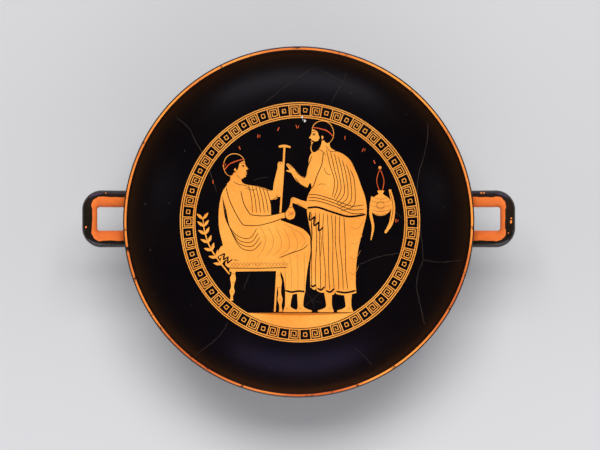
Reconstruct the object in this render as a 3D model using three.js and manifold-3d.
// A red-figure kylix: a wide, shallow drinking cup of fired clay on a stemmed foot, with two looped
// handles. Bowl, stem, foot and handles were joined before firing, so the cup is one solid.
// Millimetres, +Z up. The origin is on the ground, under the middle of the foot. The handles reach
// out along X.

import * as THREE from "three";
import { mergeVertices } from "three/addons/utils/BufferGeometryUtils.js";
import Module from "manifold-3d";

// Driving dimensions.
const height = 116; // ground to lip
const rimRadius = 145; // outside of the lip
const lipWall = 4.2; // wall just under the lip
const floorHeight = 50; // inside of the bowl, at its middle
const footRadius = 52.5;
const restingRadius = 50.2; // outer edge of the flat ring that the cup stands on
const hollowRadius = 43.5; // inner edge of that ring
const footEdge = 7; // height of the foot's upright edge
const stemRadius = 11.2; // narrowest part of the stem
const stemHeight = 32; // height of the narrowest part
const shoulderRadius = 34; // where the bowl's underside turns in to the stem
const shoulderHeight = 45.6;
const hollowTop = 37; // top of the hollow inside the stem

// Handles: one bent loop each, which leaves the wall below the lip and curves up to its level.
const handleReach = 179.2; // from the axis to the outside of the loop
const handleRootHeight = 88; // where the loop's centre line meets the wall
const handleTopHeight = 109; // of the centre line, at the middle of the outer bar
const handleRootSlope = 0.25; // rise over run where it leaves the wall
const handleOffset = 2.6; // how far both loops sit to the +Y side of the cup's middle
const armSpacing = 16.7; // half the distance between the two arms' centre lines
const armHalfWidth = 7.0; // the arms' section, across the loop and through it
const armHalfDepth = 5.4;
const barHalfWidth = 6.4; // the same for the outer bar
const barHalfDepth = 5.4;
const cornerRadius = 9; // of the centre line, at the loop's two outer corners
const rootFlare = 0.38; // share by which an arm swells where it meets the wall
const rootFlareLength = 4.2; // distance over which that swelling dies away
const armSink = 2.6; // how far each arm's end is sunk in the wall
const leanLength = 11; // distance over which the arms' sections stop leaning with the wall

const lipRadius = lipWall / 2;
const innerRimRadius = rimRadius - lipWall;
const lipBase = height - lipRadius; // height at which the lip's rounding starts

// Facets.
const turns = 64; // round the axis
const handleSides = 16;
const cornerSteps = 7;

const clay = new THREE.MeshStandardMaterial({ color: 0x17130f, roughness: 0.32, metalness: 0 });

// The inside of the bowl: level in the middle, then one sweep that steepens up to the lip.
function innerCurve() {
  const depth = lipBase - floorHeight;
  return new THREE.CubicBezierCurve(
    new THREE.Vector2(0, floorHeight),
    new THREE.Vector2(0.5 * innerRimRadius, floorHeight),
    new THREE.Vector2(0.88 * innerRimRadius, floorHeight + 0.47 * depth),
    new THREE.Vector2(innerRimRadius, lipBase),
  );
}

// The outside of the bowl, from the lip down to the shoulder over the stem.
function outerCurve() {
  return new THREE.CubicBezierCurve(
    new THREE.Vector2(rimRadius, lipBase),
    new THREE.Vector2(0.885 * rimRadius, 79.5),
    new THREE.Vector2(0.55 * rimRadius, 49.8),
    new THREE.Vector2(shoulderRadius, shoulderHeight),
  );
}

// From that shoulder into the stem, and from the stem out over the top of the foot.
function stemCurves() {
  return [
    new THREE.CubicBezierCurve(
      new THREE.Vector2(shoulderRadius, shoulderHeight),
      new THREE.Vector2(21, 44.4),
      new THREE.Vector2(stemRadius, 42.5),
      new THREE.Vector2(stemRadius, stemHeight),
    ),
    new THREE.CubicBezierCurve(
      new THREE.Vector2(stemRadius, stemHeight),
      new THREE.Vector2(stemRadius, 20),
      new THREE.Vector2(20, 12.2),
      new THREE.Vector2(footRadius - 2, footEdge),
    ),
  ];
}

// The foot's edge bulges a little between its top and the resting ring.
function footEdgeCurve() {
  return new THREE.CubicBezierCurve(
    new THREE.Vector2(footRadius - 2, footEdge),
    new THREE.Vector2(footRadius + 0.7, footEdge - 0.2),
    new THREE.Vector2(footRadius + 0.7, 1),
    new THREE.Vector2(restingRadius, 0),
  );
}

// The hollow under the foot runs up into the stem like the inside of a trumpet.
function hollowCurve() {
  return new THREE.CubicBezierCurve(
    new THREE.Vector2(hollowRadius, 0),
    new THREE.Vector2(0.62 * hollowRadius, 9.5),
    new THREE.Vector2(0.03 * hollowRadius, 8),
    new THREE.Vector2(0, hollowTop),
  );
}

function lipPoints(steps) {
  const middle = new THREE.Vector2(rimRadius - lipRadius, lipBase);
  const points = [];
  for (let i = 1; i < steps; i++) {
    const angle = Math.PI * (1 - i / steps);
    points.push(
      new THREE.Vector2(
        middle.x + lipRadius * Math.cos(angle),
        middle.y + lipRadius * Math.sin(angle),
      ),
    );
  }
  return points;
}

// The whole section, from the bowl's floor over the lip and down round the foot, back to the axis.
function bodyProfile() {
  const [shoulder, footTop] = stemCurves();
  return [
    ...innerCurve().getPoints(13),
    ...lipPoints(4),
    ...outerCurve().getPoints(11),
    ...shoulder.getPoints(4).slice(1),
    ...footTop.getPoints(7).slice(1),
    ...footEdgeCurve().getPoints(4).slice(1),
    ...hollowCurve().getPoints(7),
  ];
}

function bodyGeometry() {
  const turned = new THREE.LatheGeometry(bodyProfile().reverse(), turns);
  return turned.rotateX(Math.PI / 2);
}

// How far out the bowl's outside lies at a height and a distance across from the X axis.
const wallPoints = outerCurve().getPoints(400);
function wallOut(across, z) {
  const above = wallPoints.findLastIndex((p) => p.y >= z);
  const [a, b] = [wallPoints[above], wallPoints[above + 1]];
  const radius = THREE.MathUtils.lerp(a.x, b.x, (a.y - z) / (a.y - b.y));
  return Math.sqrt(radius ** 2 - across ** 2);
}
const seat = wallOut(armSpacing, handleRootHeight);

// Stations round one loop, seen from above: x is out from the axis, y across, and heading is the
// direction of travel, 0 on the way out, half a turn on the way back.
function loopStations() {
  const barX = handleReach - barHalfWidth;
  const starts = [-armSink, 0, 2, 4.5, 8, 14, 22].map((run) => ({
    x: seat + run,
    y: armSpacing,
    heading: 0,
  }));
  const corner = [];
  for (let i = 0; i <= cornerSteps; i++) {
    const heading = (i / cornerSteps) * (Math.PI / 2);
    corner.push({
      x: barX - cornerRadius + cornerRadius * Math.sin(heading),
      y: armSpacing - cornerRadius + cornerRadius * Math.cos(heading),
      heading,
    });
  }
  const half = [...starts, ...corner];
  const back = half.map((s) => ({ x: s.x, y: -s.y, heading: Math.PI - s.heading })).reverse();
  return [...half, ...back];
}

// The section's half width and half depth at a station.
function loopSection(x, heading) {
  const turned = Math.sin(heading);
  const swell = 1 + rootFlare * Math.exp(-Math.max(x - seat, 0) / rootFlareLength);
  return {
    width: THREE.MathUtils.lerp(armHalfWidth, barHalfWidth, turned) * swell,
    depth: THREE.MathUtils.lerp(armHalfDepth, barHalfDepth, turned) * swell,
  };
}

// A point of the loop: side is square to the direction of travel, along the loop's own climbing
// surface, and depth is square to that surface.
function loopPoint({ x, y, heading }, side, depth) {
  const run = x - seat;
  const wholeRun = handleReach - barHalfWidth - seat;
  const bend = (handleTopHeight - handleRootHeight - handleRootSlope * wholeRun) / wholeRun ** 2;
  const climb = Math.atan(handleRootSlope + 2 * bend * run);
  const rise = handleRootSlope * run + bend * run ** 2;
  const out = side * Math.sin(heading);
  const across = y + side * Math.cos(heading);
  const z = handleRootHeight + rise + out * Math.sin(climb) + depth * Math.cos(climb);
  // Near the wall each section leans, to lie along the wall's own slope.
  const lean = (wallOut(across, Math.min(z, lipBase)) - seat) * Math.exp(-Math.max(run, 0) / leanLength);
  return [x + lean + out * Math.cos(climb) - depth * Math.sin(climb), across, z];
}

function handleGeometry() {
  const positions = [];
  const loop = loopStations();
  for (const station of loop) {
    const { width, depth } = loopSection(station.x, station.heading);
    for (let k = 0; k < handleSides; k++) {
      const angle = (k / handleSides) * 2 * Math.PI;
      positions.push(...loopPoint(station, width * Math.cos(angle), depth * Math.sin(angle)));
    }
  }
  const rootCentre = positions.length / 3;
  positions.push(...loopPoint(loop[0], 0, 0), ...loopPoint(loop.at(-1), 0, 0));
  const faces = [];
  for (let i = 0; i + 1 < loop.length; i++) {
    for (let k = 0; k < handleSides; k++) {
      const a = i * handleSides + k;
      const b = i * handleSides + ((k + 1) % handleSides);
      faces.push(a, b, a + handleSides, b, b + handleSides, a + handleSides);
    }
  }
  const last = (loop.length - 1) * handleSides;
  for (let k = 0; k < handleSides; k++) {
    const next = (k + 1) % handleSides;
    faces.push(rootCentre, next, k, rootCentre + 1, last + k, last + next);
  }
  const geometry = new THREE.BufferGeometry();
  geometry.setAttribute("position", new THREE.Float32BufferAttribute(positions, 3));
  geometry.setIndex(faces);
  return geometry;
}

function solidOf(wasm, geometry) {
  const bare = geometry.clone();
  bare.deleteAttribute("normal");
  bare.deleteAttribute("uv");
  const merged = mergeVertices(bare, 1e-4);
  const mesh = new wasm.Mesh({
    numProp: 3,
    vertProperties: merged.attributes.position.array,
    triVerts: new Uint32Array(merged.index.array),
  });
  return new wasm.Manifold(mesh);
}

function geometryOf(solid) {
  const mesh = solid.getMesh();
  const geometry = new THREE.BufferGeometry();
  geometry.setAttribute("position", new THREE.BufferAttribute(mesh.vertProperties, 3));
  geometry.setIndex(new THREE.BufferAttribute(mesh.triVerts, 1));
  geometry.computeVertexNormals();
  return geometry;
}

async function cupGeometry() {
  const wasm = await Module();
  wasm.setup();
  const handle = handleGeometry();
  const otherHandle = handle.clone().rotateZ(Math.PI);
  handle.translate(0, handleOffset, 0);
  otherHandle.translate(0, handleOffset, 0);
  const cup = solidOf(wasm, bodyGeometry())
    .add(solidOf(wasm, handle))
    .add(solidOf(wasm, otherHandle));
  return geometryOf(cup);
}

const kylix = new THREE.Group();
const cup = new THREE.Mesh(await cupGeometry(), clay);
cup.name = "kylix_cup";
kylix.add(cup);

export default kylix;
